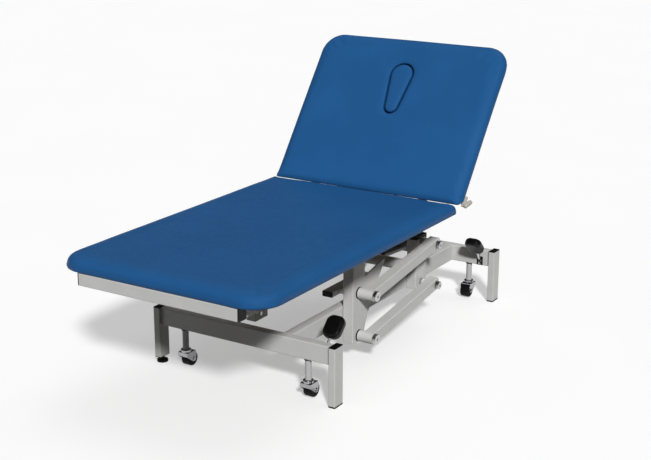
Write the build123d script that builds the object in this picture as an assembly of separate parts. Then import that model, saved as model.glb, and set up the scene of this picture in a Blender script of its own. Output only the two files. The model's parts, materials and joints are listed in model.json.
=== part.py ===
from build123d import *
import os, math

os.makedirs("parts", exist_ok=True)

# ---------------------------------------------------------------- driving dimensions (mm)
# frame: +X near (pedal) side, +Y head end, +Z up, floor at Z = 0
BASE_HALF_W = 364.0          # outer face of the legs
BASE_FOOT_Y = -394.3         # foot face of the foot legs
BASE_HEAD_Y = 828.5          # head face of the head legs
LEG_X, LEG_Y, LEG_H = 25.0, 50.0, 204.0
LEG_WALL = 2.0
CROSS_SET_BACK = 9.6         # cross member behind the leg's outer face
CROSS_T = 33.0               # cross member thickness along Y
RAIL_Z0, RAIL_Z1 = 140.4, 202.4
RAIL_IN, RAIL_OUT = 143.5, 180.4
TUBE_WALL = 2.5
TUBE_R = 3.0                 # outside corner radius of box tubes

POST_W = 40.0                # post size along X
POST_D = 80.0                # post size along Y
FIXED_POST_Y = 448.0         # centre of the fixed posts
FIXED_POST_TOP = 336.0
FIXED_PIVOT_Z = (155.0, 310.0)
MOVING_POST_Y = -9.0         # centre of the moving posts, lowered position
MOVING_POST_X0 = 183.0
MOVING_POST_Z0 = 74.0
MOVING_PIVOT_Z = (94.0, 249.0)
LINK_X0, LINK_X1 = 126.0, 166.0   # short rail beside each moving post
LINK_Z0, LINK_Z1 = 244.0, 264.0
ARM_X0, ARM_X1 = 245.0, 285.0
ARM_H = 40.0
BOSS_R = 20.0
PIVOT_R = 8.0                # pivot bolt shank
BUSH_R = 11.0                # outside of the plain bushes
RUN = 0.05                   # running clearance of pins in bushes
CROSS_TUBE_AT = 200.0        # link tube, distance from the fixed upper pivot
CROSS_TUBE_R = 20.0

FRAME_Z0, FRAME_Z1 = 416.2, 457.0   # top frame tubes
FRAME_HALF_X = 299.4
FRAME_FOOT_Y = -818.3

SEAT_HALF_W = 399.4
SEAT_FOOT_Y, SEAT_HEAD_Y = -828.6, 385.2
SEAT_Z0, SEAT_Z1 = 457.0, 504.6
SEAT_CORNER_R = 100.0
SEAT_EDGE_R = 18.0
BOARD_T = 12.0
BOARD_INSET = 14.0

HINGE_Y, HINGE_Z = 407.9, 470.6
BACK_ANGLE = 53.24           # back section above horizontal, as drawn
BACK_O = (390.8, 504.6)      # front plane at the seat top plane (Y, Z)
BACK_T = 46.2
BACK_LEN = 631.7
BACK_CORNER_R = 88.0
PLUG_S0, PLUG_S1 = 306.0, 516.0
PLUG_TOP_W, PLUG_LOW_W = 47.6, 29.5
GRIP_X, GRIP_R = 390.5, 8.5  # release grip, seen beyond the lower near corner of the back
GRIP_FROM, GRIP_TO = (454.0, 471.5), (490.0, 476.0)

CASTOR_X = 248.0
CASTOR_STEM_R = 11.0
WHEEL_R, WHEEL_W = 25.0, 34.0
CASTOR_TRAIL = 18.0
WHEEL_GAP = 3.0              # wheel above the floor, castors raised
CASTOR_TRAVEL = 10.0
CARRIAGE_BAR_Z0, CARRIAGE_BAR_Z1 = 180.0, 192.0

PEDAL_X = 301.0
PEDAL_PIVOT_Z = 158.0
PAD_W, PAD_L, PAD_H = 66.0, 80.0, 33.0   # pedal pad across, along its slope, thick
PAD_AT = (71.1, 233.2)       # pad centre: inboard of the cross member, height
PAD_TILT = 45.0

ACT_ANCHOR = (735.0, 190.0)  # actuator pivot on the base (Y, Z)
ACT_CRANK = (439.28, 210.38) # actuator pivot on the lift crank (Y, Z)
STRUT_X = 100.0
STRUT_ANCHOR = (340.0, 320.0)
STRUT_TOP = (556.679, 567.918)

NODES = {}


# ---------------------------------------------------------------- helpers
def box(x0, x1, y0, y1, z0, z1):
    return Pos((x0 + x1) / 2, (y0 + y1) / 2, (z0 + z1) / 2) * Box(abs(x1 - x0), abs(y1 - y0), abs(z1 - z0))


def rbox(axis, r, x0, x1, y0, y1, z0, z1):
    b = box(x0, x1, y0, y1, z0, z1)
    return fillet(b.edges().filter_by(axis), r)


def tube(axis, x0, x1, y0, y1, z0, z1, t=TUBE_WALL, r=TUBE_R):
    outer = rbox(axis, r, x0, x1, y0, y1, z0, z1)
    e = 5.0
    lo = [x0 + t, y0 + t, z0 + t]
    hi = [x1 - t, y1 - t, z1 - t]
    k = {Axis.X: 0, Axis.Y: 1, Axis.Z: 2}[axis]
    lo[k] = (x0, y0, z0)[k] - e
    hi[k] = (x1, y1, z1)[k] + e
    inner = rbox(axis, max(r - t, 0.8), lo[0], hi[0], lo[1], hi[1], lo[2], hi[2])
    return outer - inner


def cyl_x(x0, x1, y, z, r):
    return Pos((x0 + x1) / 2, y, z) * Rot(0, 90, 0) * Cylinder(r, abs(x1 - x0))


def cyl_y(y0, y1, x, z, r):
    return Pos(x, (y0 + y1) / 2, z) * Rot(90, 0, 0) * Cylinder(r, abs(y1 - y0))


def cyl_z(z0, z1, x, y, r):
    return Pos(x, y, (z0 + z1) / 2) * Cylinder(r, abs(z1 - z0))


def rod(p0, p1, r, x=0.0):
    """cylinder between two points (Y, Z) in the plane X = x"""
    dy, dz = p1[0] - p0[0], p1[1] - p0[1]
    length = math.hypot(dy, dz)
    ang = math.degrees(math.atan2(dz, dy))
    return Pos(x, (p0[0] + p1[0]) / 2, (p0[1] + p1[1]) / 2) * Rot(ang, 0, 0) * Rot(90, 0, 0) * Cylinder(r, length)


def plate_yz(x0, x1, pts):
    """plate between two X planes with an outline of (Y, Z) points"""
    face = make_face(Polyline(*[(x0, y, z) for y, z in pts], close=True))
    return extrude(face, amount=(x1 - x0), dir=(1, 0, 0))


def mirror_x(s):
    return mirror(s, about=Plane.YZ)


def group(*shapes):
    out = []
    for s in shapes:
        out += list(s.solids())
    return Compound(out)


def one(s):
    sol = s.solids()
    return sol[0] if len(sol) == 1 else Compound(list(sol))


def put(name, shape):
    NODES[name] = shape
    export_step(shape, "parts/%s.step" % name)


def back_loc(s, n, x=0.0):
    """point of the back section, s along it from the seat plane, n out of its front face"""
    c, q = math.cos(math.radians(BACK_ANGLE)), math.sin(math.radians(BACK_ANGLE))
    return (x, BACK_O[0] + s * c - n * q, BACK_O[1] + s * q + n * c)


def on_back(shape):
    """place a shape drawn flat (Y along the back, Z out of its face) on the raised back"""
    return Pos(0, BACK_O[0], BACK_O[1]) * Rot(BACK_ANGLE, 0, 0) * shape


# ---------------------------------------------------------------- base
leg_in = BASE_HALF_W - LEG_X
legs_y = {"foot": (BASE_FOOT_Y, BASE_FOOT_Y + LEG_Y), "head": (BASE_HEAD_Y - LEG_Y, BASE_HEAD_Y)}
CAP_T, PLUG_T = 2.4, 5.0
FAR_FOOT_LIFT = 23.6         # the far foot leg is shorter by its levelling glide


def leg(side, end):
    y0, y1 = legs_y[end]
    z0 = FAR_FOOT_LIFT if (side < 0 and end == "foot") else PLUG_T
    x0, x1 = (leg_in, BASE_HALF_W) if side > 0 else (-BASE_HALF_W, -leg_in)
    return tube(Axis.Z, x0, x1, y0, y1, z0, LEG_H - CAP_T, LEG_WALL, 2.5)


put("legs", group(*[leg(sd, end) for sd in (1, -1) for end in ("foot", "head")]))

caps, feet = [], []
for sd in (1, -1):
    for end in ("foot", "head"):
        y0, y1 = legs_y[end]
        x0, x1 = (leg_in, BASE_HALF_W) if sd > 0 else (-BASE_HALF_W, -leg_in)
        w = LEG_WALL + 0.35
        cap = rbox(Axis.Z, 2.5, x0, x1, y0, y1, LEG_H - CAP_T, LEG_H)
        cap = cap + box(x0 + w, x1 - w, y0 + w, y1 - w, LEG_H - CAP_T - 12, LEG_H - CAP_T)
        caps.append(cap)
        if not (sd < 0 and end == "foot"):
            ft = rbox(Axis.Z, 2.5, x0, x1, y0, y1, 0, PLUG_T)
            ft = ft + box(x0 + w, x1 - w, y0 + w, y1 - w, PLUG_T, PLUG_T + 12)
            feet.append(ft)
        else:
            ft = rbox(Axis.Z, 2.5, x0, x1, y0, y1, FAR_FOOT_LIFT - 2.0, FAR_FOOT_LIFT)
            ft = ft + box(x0 + w, x1 - w, y0 + w, y1 - w, FAR_FOOT_LIFT, FAR_FOOT_LIFT + 14)
            gx, gy = (x0 + x1) / 2, (y0 + y1) / 2
            ft = ft - cyl_z(0, 60, gx, gy, 5.05)
            feet.append(ft)
top_caps = caps
put("leg_foot_inserts", group(*feet))

# levelling glide of the far foot leg
gx, gy = -(BASE_HALF_W + leg_in) / 2, (legs_y["foot"][0] + legs_y["foot"][1]) / 2
glide = cyl_z(0, 8, gx, gy, 19.5)
glide = fillet(glide.edges().group_by(Axis.Z)[-1], 2.5)
glide = glide + cyl_z(8, 13, gx, gy, 9.0)
glide_stud = cyl_z(13, 52, gx, gy, 5.0)
put("levelling_glide", group(glide, glide_stud))

# cross members with stem holes and the pedal slot
cross_y = {"foot": (BASE_FOOT_Y + CROSS_SET_BACK, BASE_FOOT_Y + CROSS_SET_BACK + CROSS_T),
           "head": (BASE_HEAD_Y - CROSS_SET_BACK - CROSS_T, BASE_HEAD_Y - CROSS_SET_BACK)}


def inboard(end):
    return 1.0 if end == "foot" else -1.0


def cross_mid(end):
    return (cross_y[end][0] + cross_y[end][1]) / 2


for end in ("foot", "head"):
    y0, y1 = cross_y[end]
    ym = cross_mid(end)
    sgn = inboard(end)
    m = tube(Axis.X, -leg_in, leg_in, y0, y1, RAIL_Z0, RAIL_Z1)
    for sx in (1, -1):
        m = m - cyl_z(RAIL_Z0 - 5, RAIL_Z0 + 8, sx * CASTOR_X, ym, 13.6)
    # slot for the pedal lever in the inner wall
    ya, yb = sorted((ym + sgn * 9.0, ym + sgn * 22.0))
    m = m - box(PEDAL_X - 9, PEDAL_X + 10, ya, yb, 143.2, 174.0)
    # inner web that carries the pedal pin, its top clear of the lowered castor carriage
    web = box(284, 290, y0 + TUBE_WALL - 0.3, y1 - TUBE_WALL + 0.3, RAIL_Z0 + TUBE_WALL - 0.3, CARRIAGE_BAR_Z0 - CASTOR_TRAVEL - 2.0)
    m = m + web
    put("%s_cross_member" % end, one(m))

rails = []
for x0, x1 in ((RAIL_IN, RAIL_OUT), (-RAIL_OUT, -RAIL_IN)):
    rails.append(tube(Axis.Y, x0, x1, cross_y["foot"][1], cross_y["head"][0], RAIL_Z0, RAIL_Z1))
put("base_rails", group(*rails))

# fixed posts, bolted pivots
fp_y0, fp_y1 = FIXED_POST_Y - POST_D / 2, FIXED_POST_Y + POST_D / 2
caps, fposts = [], []
FIXED_X0 = RAIL_OUT
FIXED_X1 = RAIL_OUT + POST_W
for sd, sn in ((1, "near"), (-1, "far")):
    p = tube(Axis.Z, FIXED_X0, FIXED_X1, fp_y0, fp_y1, 136.0, FIXED_POST_TOP - 10)
    for z in FIXED_PIVOT_Z:
        p = p - cyl_x(FIXED_X0 - 5, FIXED_X1 + 5, FIXED_POST_Y, z, PIVOT_R)
        lug = cyl_x(FIXED_X0 + TUBE_WALL - 0.4, FIXED_X1 - TUBE_WALL + 0.4, FIXED_POST_Y, z, 14) - \
            cyl_x(FIXED_X0, FIXED_X1, FIXED_POST_Y, z, PIVOT_R)
        p = p + lug
    cap = rbox(Axis.Z, 3.0, FIXED_X0, FIXED_X1, fp_y0, fp_y1, FIXED_POST_TOP - 10, FIXED_POST_TOP)
    if sd < 0:
        p, cap = mirror_x(p), mirror_x(cap)
    fposts.append(p)
    caps.append(cap)
put("fixed_posts", group(*fposts))
put("base_tube_caps", group(*(top_caps + caps)))


def pivot_bolt(x_in, x_head, x_out, y, z, head_r, neck=0.0):
    b = cyl_x(x_in, x_head + 0.5, y, z, PIVOT_R)
    if neck:
        b = b + cyl_x(x_head, x_head + neck, y, z, 9.5)
    h = cyl_x(x_head + neck, x_out, y, z, head_r)
    h = chamfer(h.edges().group_by(Axis.X)[-1], 1.5)
    b = b + h
    b = b - Pos(x_out - 2.5, y, z) * Rot(0, 90, 0) * extrude(RegularPolygon(5.5, 6), amount=6)
    return b


fixed_bolts, spacers, washers = [], [], []
for z in FIXED_PIVOT_Z:
    b = pivot_bolt(FIXED_X0 + 1.0, ARM_X1 + 3.4, 300.0, FIXED_POST_Y, z, 15.0, neck=3.2)
    sp = cyl_x(FIXED_X1, FIXED_X1 + 8.0, FIXED_POST_Y, z, 15.0) - cyl_x(FIXED_X1 - 1, FIXED_X1 + 30, FIXED_POST_Y, z, PIVOT_R)
    w = cyl_x(ARM_X1 + 0.4, ARM_X1 + 3.4, FIXED_POST_Y, z, 17.0) - cyl_x(ARM_X1, ARM_X1 + 5, FIXED_POST_Y, z, PIVOT_R)
    fixed_bolts += [b, mirror_x(b)]
    spacers += [sp, mirror_x(sp)]
    washers += [w, mirror_x(w)]
put("fixed_pivot_bolts", group(*fixed_bolts))
put("fixed_pivot_spacers", group(*(spacers + washers)))

# ---------------------------------------------------------------- lift arms
ARM_DY = FIXED_POST_Y - MOVING_POST_Y
ARM_DZ = FIXED_PIVOT_Z[0] - MOVING_PIVOT_Z[0]
ARM_L = math.hypot(ARM_DY, ARM_DZ)
ARM_ANG = math.degrees(math.atan2(ARM_DZ, ARM_DY))
BOSS_X0 = 227.4


def arm(level):
    """arm drawn level along Y with its foot pivot at the origin, then placed"""
    tb = tube(Axis.Y, ARM_X0, ARM_X1, 0, ARM_L + 20, -ARM_H / 2, ARM_H / 2)
    end = box(ARM_X0 + 1, ARM_X1 - 1, ARM_L + 17.0, ARM_L + 20, -ARM_H / 2 + 1, ARM_H / 2 - 1)
    tb = tb + end
    boss = cyl_x(BOSS_X0, ARM_X1, 0, 0, BOSS_R)
    a = tb - cyl_x(ARM_X0 - 5, ARM_X1 + 5, 0, 0, BOSS_R - 0.5) + boss
    hub = cyl_x(FIXED_X1 + 8.4, ARM_X1, ARM_L, 0, 15.0)
    a = a + hub
    for y in (0, ARM_L):
        a = a - cyl_x(200, 300, y, 0, BUSH_R)
    return Pos(0, MOVING_POST_Y, MOVING_PIVOT_Z[level]) * Rot(ARM_ANG, 0, 0) * a


def arm_bushes(level):
    out = []
    for y, z, x0 in ((MOVING_POST_Y, MOVING_PIVOT_Z[level], BOSS_X0), (FIXED_POST_Y, FIXED_PIVOT_Z[level], FIXED_X1 + 8.4)):
        out.append(cyl_x(x0, ARM_X1, y, z, BUSH_R) - cyl_x(x0 - 5, ARM_X1 + 5, y, z, PIVOT_R + RUN))
    return out


a, b = arm(0), arm_bushes(0)
put("lower_arm_near", one(a))
put("lower_arm_far", one(mirror_x(a)))
put("lower_arm_bushes_near", group(*b))
put("lower_arm_bushes_far", group(*[mirror_x(s) for s in b]))
a, b = arm(1), arm_bushes(1)
put("upper_arms", group(a, mirror_x(a)))
put("upper_arm_bushes", group(*(b + [mirror_x(s) for s in b])))

# link tube between the upper arms, with the crank that the actuator pushes
ct_y = FIXED_POST_Y - CROSS_TUBE_AT * math.cos(math.radians(ARM_ANG))
ct_z = FIXED_PIVOT_Z[1] - CROSS_TUBE_AT * math.sin(math.radians(ARM_ANG))
ct = cyl_x(-ARM_X0, ARM_X0, ct_y, ct_z, CROSS_TUBE_R) - cyl_x(-ARM_X0 - 5, ARM_X0 + 5, ct_y, ct_z, CROSS_TUBE_R - 3)
crank = []
for x0 in (-20.0, 12.0):
    dy, dz = ACT_CRANK[0] - ct_y, ACT_CRANK[1] - ct_z
    L = math.hypot(dy, dz)
    uy, uz = dy / L, dz / L
    ny, nz = -uz, uy
    pts = [(ct_y + ny * 30, ct_z + nz * 30), (ct_y - ny * 30, ct_z - nz * 30),
           (ACT_CRANK[0] - ny * 15, ACT_CRANK[1] - nz * 15), (ACT_CRANK[0] + ny * 15, ACT_CRANK[1] + nz * 15)]
    pl = plate_yz(x0, x0 + 8, pts)
    pl = pl + cyl_x(x0, x0 + 8, ACT_CRANK[0], ACT_CRANK[1], 15) + cyl_x(x0, x0 + 8, ct_y, ct_z, 30)
    pl = pl - cyl_x(x0 - 2, x0 + 10, ct_y, ct_z, CROSS_TUBE_R)
    xo = x0 if x0 < 0 else x0 + 8
    s = -1 if x0 < 0 else 1
    pl = pl + cyl_x(xo - 0.2 * s, xo + 5 * s, ACT_CRANK[0], ACT_CRANK[1], 9)
    crank.append(pl)
ct = ct + crank[0] + crank[1]
put("arm_link_tube", one(ct))

# ---------------------------------------------------------------- actuator
ady, adz = ACT_CRANK[0] - ACT_ANCHOR[0], ACT_CRANK[1] - ACT_ANCHOR[1]
AL = math.hypot(ady, adz)
auy, auz = ady / AL, adz / AL


def on_act(d, off=0.0):
    """point at distance d from the base pivot along the actuator"""
    return (ACT_ANCHOR[0] + auy * d - auz * off, ACT_ANCHOR[1] + auz * d + auy * off)


body = rod(on_act(28), on_act(200), 19) - rod(on_act(60), on_act(205), 11.0)
tail = Pos(0, *on_act(17)) * Rot(math.degrees(math.atan2(auz, auy)), 0, 0) * Box(17, 32, 22)
eye = cyl_x(-9, 9, ACT_ANCHOR[0], ACT_ANCHOR[1], 13)
housing = body + tail + eye - cyl_x(-12, 12, ACT_ANCHOR[0], ACT_ANCHOR[1], 6 + RUN)
put("actuator_housing", one(housing))
mp = on_act(64, -40)
motor = Pos(0, mp[0], mp[1]) * Rot(math.degrees(math.atan2(auz, auy)), 0, 0) * \
    fillet(Box(46, 120, 44).edges(), 6)
put("actuator_motor", one(motor - rod(on_act(20), on_act(210), 19)))
rod_s = rod(on_act(66), on_act(AL - 6), 10.0)
rod_eye = cyl_x(-9, 9, ACT_CRANK[0], ACT_CRANK[1], 13)
put("actuator_rod", one(rod_s + rod_eye))
# base clevis on the head cross member
clev = box(-25, 25, cross_y["head"][0] - 6, cross_y["head"][0], 162, 201)
for x0 in (-18.0, 10.0):
    clev = clev + plate_yz(x0, x0 + 8, [(cross_y["head"][0] - 3, 165), (cross_y["head"][0] - 3, 200),
                                        (ACT_ANCHOR[0], ACT_ANCHOR[1] + 12), (ACT_ANCHOR[0], ACT_ANCHOR[1] - 12)])
    clev = clev + cyl_x(x0, x0 + 8, ACT_ANCHOR[0], ACT_ANCHOR[1], 12)
clev = clev - cyl_x(-30, 30, ACT_ANCHOR[0], ACT_ANCHOR[1], 6)
put("actuator_clevis", one(clev))
pin = cyl_x(-19, 19, ACT_ANCHOR[0], ACT_ANCHOR[1], 6) + cyl_x(18, 22, ACT_ANCHOR[0], ACT_ANCHOR[1], 9) \
    + cyl_x(-22, -18, ACT_ANCHOR[0], ACT_ANCHOR[1], 9)
clevis_pin = pin

# ---------------------------------------------------------------- castors and pedals
fork_top = 2 * WHEEL_R + WHEEL_GAP + 14
stem_top = CARRIAGE_BAR_Z1
for end in ("foot", "head"):
    ym = cross_mid(end)
    sgn = inboard(end)
    bar = box(-262, 311, ym - 8, ym + 8, CARRIAGE_BAR_Z0, stem_top)
    stems = [cyl_z(fork_top + 0.5, 185, sx * CASTOR_X, ym, CASTOR_STEM_R) for sx in (1, -1)]
    car = bar
    for s in stems:
        car = car + s
    # fork plate over the pedal crank pin
    ya, yb = sorted((ym - sgn * 2.0, ym + sgn * 13.2))
    fk_pl = box(306, 310, ya, yb, 155.5, 182)
    pz = PEDAL_PIVOT_Z + 12 * math.sin(math.radians(25))
    na, nb = sorted((ym + sgn * 6.5, ym + sgn * 15.0))
    fk_pl = fk_pl - box(305, 311, na, nb, pz - 2.8, pz + 2.8)
    sa, sb = sorted((ym - sgn * 4.0, ym + sgn * 5.0))
    fk_pl = fk_pl - box(305, 311, sa, sb, 150, 174.5)
    car = car + fk_pl
    # swivel sockets in the stem ends
    for sx in (1, -1):
        car = car - cyl_z(fork_top - 2, fork_top + 22, sx * CASTOR_X, ym, 6 + RUN)
    put("castor_carriage_%s" % end, one(car))

collars = []
for end in ("foot", "head"):
    ym = cross_mid(end)
    for sx in (1, -1):
        c = cyl_z(RAIL_Z0 - 3.5, RAIL_Z0, sx * CASTOR_X, ym, 14.5) + cyl_z(RAIL_Z0 - 0.5, RAIL_Z0 + 6, sx * CASTOR_X, ym, 13.5)
        collars.append(c - cyl_z(RAIL_Z0 - 10, RAIL_Z0 + 12, sx * CASTOR_X, ym, CASTOR_STEM_R + 0.35))

WZ = WHEEL_GAP + WHEEL_R
FORK_IN, FORK_OUT = WHEEL_W / 2 + 1.2, WHEEL_W / 2 + 3.4


def castor(end, sx):
    ym, sgn = cross_mid(end), inboard(end)
    cx, cy = sx * CASTOR_X, ym
    wy = cy + sgn * CASTOR_TRAIL
    # hood: bearing cup, crown and two cheeks down to the axle
    cup = cyl_z(fork_top - 11, fork_top, cx, cy, 18.5)
    cup = fillet(cup.edges().group_by(Axis.Z)[-1], 3.0)
    pts = [(cy - sgn * 19, fork_top - 10), (cy - sgn * 20.5, fork_top - 23), (wy - sgn * 9, WZ - 6), (wy, WZ - 9.5),
           (wy + sgn * 9, WZ - 4), (wy + sgn * 13, fork_top - 22), (wy + sgn * 9, fork_top - 11)]
    cheeks = plate_yz(cx - FORK_OUT, cx - FORK_IN, pts) + plate_yz(cx + FORK_IN, cx + FORK_OUT, pts)
    crown = plate_yz(cx - FORK_OUT, cx + FORK_OUT, [(cy - sgn * 19, fork_top - 10), (cy - sgn * 20.5, fork_top - 23),
                                                    (cy - sgn * 18.3, fork_top - 23), (cy - sgn * 16.8, fork_top - 12.2),
                                                    (wy + sgn * 8.5, fork_top - 12.8), (wy + sgn * 9, fork_top - 10)])
    fork = crown + cheeks + cup
    fork = fork - cyl_x(cx - 30, cx + 30, wy, WZ, 4.0)
    fork = fork + cyl_z(fork_top - 1, fork_top + 20, cx, cy, 6)
    axle = cyl_x(cx - FORK_OUT - 2.2, cx + FORK_OUT + 2.2, wy, WZ, 4.0)
    axle = axle + cyl_x(cx + FORK_OUT, cx + FORK_OUT + 3, wy, WZ, 6.5) + cyl_x(cx - FORK_OUT - 3, cx - FORK_OUT, wy, WZ, 6.5)
    tyre = cyl_x(cx - WHEEL_W / 2, cx + WHEEL_W / 2, wy, WZ, WHEEL_R)
    tyre = fillet(tyre.edges().filter_by(GeomType.CIRCLE), 4.0)
    tyre = tyre - cyl_x(cx - 30, cx + 30, wy, WZ, 17.0)
    hub = cyl_x(cx - WHEEL_W / 2 + 0.6, cx + WHEEL_W / 2 - 0.6, wy, WZ, 17.0)
    hub = hub - (cyl_x(cx + WHEEL_W / 2 - 3, cx + 30, wy, WZ, 14.5) - cyl_x(cx, cx + 40, wy, WZ, 8)) \
        - (cyl_x(cx - 30, cx - WHEEL_W / 2 + 3, wy, WZ, 14.5) - cyl_x(cx - 40, cx, wy, WZ, 8))
    hub = hub - cyl_x(cx - 30, cx + 30, wy, WZ, 4.0 + RUN)
    return fork, axle, tyre, hub


for end in ("foot", "head"):
    for sx, sn in ((1, "near"), (-1, "far")):
        fork, axle, tyre, hub = castor(end, sx)
        put("castor_fork_%s_%s" % (end, sn), group(fork, axle))
        put("castor_wheel_%s_%s" % (end, sn), group(tyre, hub))

pins, grommets = [], []
for end in ("foot", "head"):
    ym, sgn = cross_mid(end), inboard(end)
    pins.append(cyl_x(290, 304.4, ym, PEDAL_PIVOT_Z, 4.0))
    yi = ym + sgn * CROSS_T / 2
    ya, yb = sorted((yi, yi + sgn * 2.5))
    g = box(PEDAL_X - 12, PEDAL_X + 12, ya, yb, 141.5, 176.5)
    g = fillet(g.edges().filter_by(Axis.Y), 3)
    ya, yb = sorted((yi - sgn * 5, yi + sgn * 5))
    g = g - box(PEDAL_X - 6.8, PEDAL_X + 6.8, ya, yb, 142.9, 172.5)
    grommets.append(g)

    def P(u, z):
        return (ym + sgn * u, z)
    # lever: hub, bent rod, pad plate
    hubc = cyl_x(298, 304, ym, PEDAL_PIVOT_Z, 9.0)
    a25 = math.radians(25)
    c1 = P(27 * math.cos(a25), PEDAL_PIVOT_Z + 27 * math.sin(a25))
    c2 = P(46.0, 208.0)
    r1 = rod(P(4 * math.cos(a25), PEDAL_PIVOT_Z + 4 * math.sin(a25)), c1, 5.0, PEDAL_X)
    r2 = rod(c1, c2, 5.0, PEDAL_X)
    lever = hubc + r1 + Pos(PEDAL_X, c1[0], c1[1]) * Sphere(5.0) + r2
    lever = lever + cyl_x(303.8, 309.8, ym + sgn * 12 * math.cos(a25), PEDAL_PIVOT_Z + 12 * math.sin(a25), 2.5)
    lever = lever - cyl_x(290, 320, ym, PEDAL_PIVOT_Z, 4.0 + RUN)
    # pad: solid rubber pillow moulded over the end of the rod, its face up and outward
    t = math.radians(PAD_TILT)
    c3 = P(PAD_AT[0] + 14 * math.cos(t), PAD_AT[1] + 14 * math.sin(t))
    lever = lever + Pos(PEDAL_X, c2[0], c2[1]) * Sphere(5.0) + rod(c2, c3, 5.0, PEDAL_X)
    pad = Box(PAD_W, PAD_L, PAD_H)
    pad = fillet(pad.edges().filter_by(Axis.Z), 25.0)
    pad = fillet(pad.edges().group_by(Axis.Z)[-1], 14.0)
    pad = fillet(pad.edges().group_by(Axis.Z)[0], 13.0)
    pad = Pos(PEDAL_X, *P(*PAD_AT)) * Rot(PAD_TILT * sgn, 0, 0) * pad - lever
    put("pedal_lever_%s" % end, one(lever))
    put("pedal_pad_%s" % end, one(pad))
put("base_pivot_pins", group(clevis_pin, *pins))
put("guide_bushes", group(*(collars + grommets)))

# ---------------------------------------------------------------- top frame
fr = [tube(Axis.X, -FRAME_HALF_X, FRAME_HALF_X, FRAME_FOOT_Y, FRAME_FOOT_Y + 40, FRAME_Z0, FRAME_Z1)]
put("top_foot_rail", one(fr[0]))
put("top_head_rail", one(tube(Axis.X, -FRAME_HALF_X, FRAME_HALF_X, 330, 370, FRAME_Z0, FRAME_Z1)))
sides = []
for sd, sn in ((1, "near"), (-1, "far")):
    r = tube(Axis.Y, 259.4, FRAME_HALF_X, FRAME_FOOT_Y + 40, 330, FRAME_Z0, FRAME_Z1)
    sides.append(r if sd > 0 else mirror_x(r))
put("top_side_rails", group(*sides))
put("top_mid_rail", one(tube(Axis.X, -259.4, 259.4, MOVING_POST_Y - 40, MOVING_POST_Y + 40, FRAME_Z0, FRAME_Z1)))
ec = []
for y0 in (FRAME_FOOT_Y, 330):
    for sd in (1, -1):
        c = rbox(Axis.X, 3.0, FRAME_HALF_X, FRAME_HALF_X + 3.4, y0, y0 + 40, FRAME_Z0, FRAME_Z1)
        ec.append(c if sd > 0 else mirror_x(c))

mp0, mp1 = MOVING_POST_Y - POST_D / 2, MOVING_POST_Y + POST_D / 2
MX0, MX1 = MOVING_POST_X0, MOVING_POST_X0 + POST_W
mposts = []
for sd, sn in ((1, "near"), (-1, "far")):
    p = tube(Axis.Z, MX0, MX1, mp0, mp1, MOVING_POST_Z0, FRAME_Z0)
    for z in MOVING_PIVOT_Z:
        p = p - cyl_x(MX0 - 5, MX1 + 5, MOVING_POST_Y, z, PIVOT_R)
        p = p + (cyl_x(MX0 + TUBE_WALL - 0.4, MX1 - TUBE_WALL + 0.4, MOVING_POST_Y, z, 14)
                 - cyl_x(MX0, MX1, MOVING_POST_Y, z, PIVOT_R))
    mposts.append(p if sd > 0 else mirror_x(p))
put("moving_posts", group(*mposts))

gus = []
gpts = [(mp1, 104), (mp1 + 10, 128), (mp1 + 26, 158), (mp1 + 46, 190), (mp1 + 66, 222), (mp1 + 90, 256), (mp1 + 118, 290),
        (mp1 + 139, 314), (mp1 + 139, 325), (mp1 + 4, 294), (mp1, 294)]
g = plate_yz(MX1 - 8, MX1 - 2, gpts)
lr = tube(Axis.Y, LINK_X0, LINK_X1, mp0 - 38, mp1 + 130, LINK_Z0, LINK_Z1, 2.0, 2.5)
lcap = rbox(Axis.Y, 2.5, LINK_X0, LINK_X1, mp0 - 41, mp0 - 38, LINK_Z0, LINK_Z1)
tie = box(LINK_X1, MX0, mp0 + 6, mp1 - 6, LINK_Z0 + 2, LINK_Z1 - 2)
put("moving_post_braces", group(g, mirror_x(g), lr + tie, mirror_x(lr + tie)))
put("top_frame_caps", group(*(ec + [lcap, mirror_x(lcap)])))

mb, rings = [], []
for z in MOVING_PIVOT_Z:
    b = pivot_bolt(MX0 + 1, ARM_X1 + 0.6, 298.0, MOVING_POST_Y, z, 18.0)
    r = cyl_x(MX1, MX1 + 4.0, MOVING_POST_Y, z, 21.0) - cyl_x(MX1 - 1, MX1 + 6, MOVING_POST_Y, z, PIVOT_R)
    mb += [b, mirror_x(b)]
    rings += [r, mirror_x(r)]
put("moving_pivot_bolts", group(*mb))
put("moving_pivot_rings", group(*rings))

# seat board and cushion
sk = make_face(Polyline((-SEAT_HALF_W, SEAT_FOOT_Y), (SEAT_HALF_W, SEAT_FOOT_Y), (SEAT_HALF_W, SEAT_HEAD_Y),
                        (-SEAT_HALF_W, SEAT_HEAD_Y), close=True))


def slab(half_w, y0, y1, z0, z1, r_foot, r_head):
    s = box(-half_w, half_w, y0, y1, z0, z1)
    ve = s.edges().filter_by(Axis.Z).group_by(Axis.Y)
    s = fillet(ve[0], r_foot)
    ve = s.edges().filter_by(Axis.Z).group_by(Axis.Y)
    s = fillet(ve[-1], r_head)
    return s


seat = slab(SEAT_HALF_W, SEAT_FOOT_Y, SEAT_HEAD_Y, SEAT_Z0, SEAT_Z1, SEAT_CORNER_R, 12.0)
seat = fillet(seat.edges().group_by(Axis.Z)[-1], SEAT_EDGE_R)
i = BOARD_INSET
board = slab(SEAT_HALF_W - i, SEAT_FOOT_Y + i, SEAT_HEAD_Y - i, SEAT_Z0, SEAT_Z0 + BOARD_T, SEAT_CORNER_R - i, 4.0)
put("seat_board", one(board))
put("seat_cushion", one(seat - board))

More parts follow.
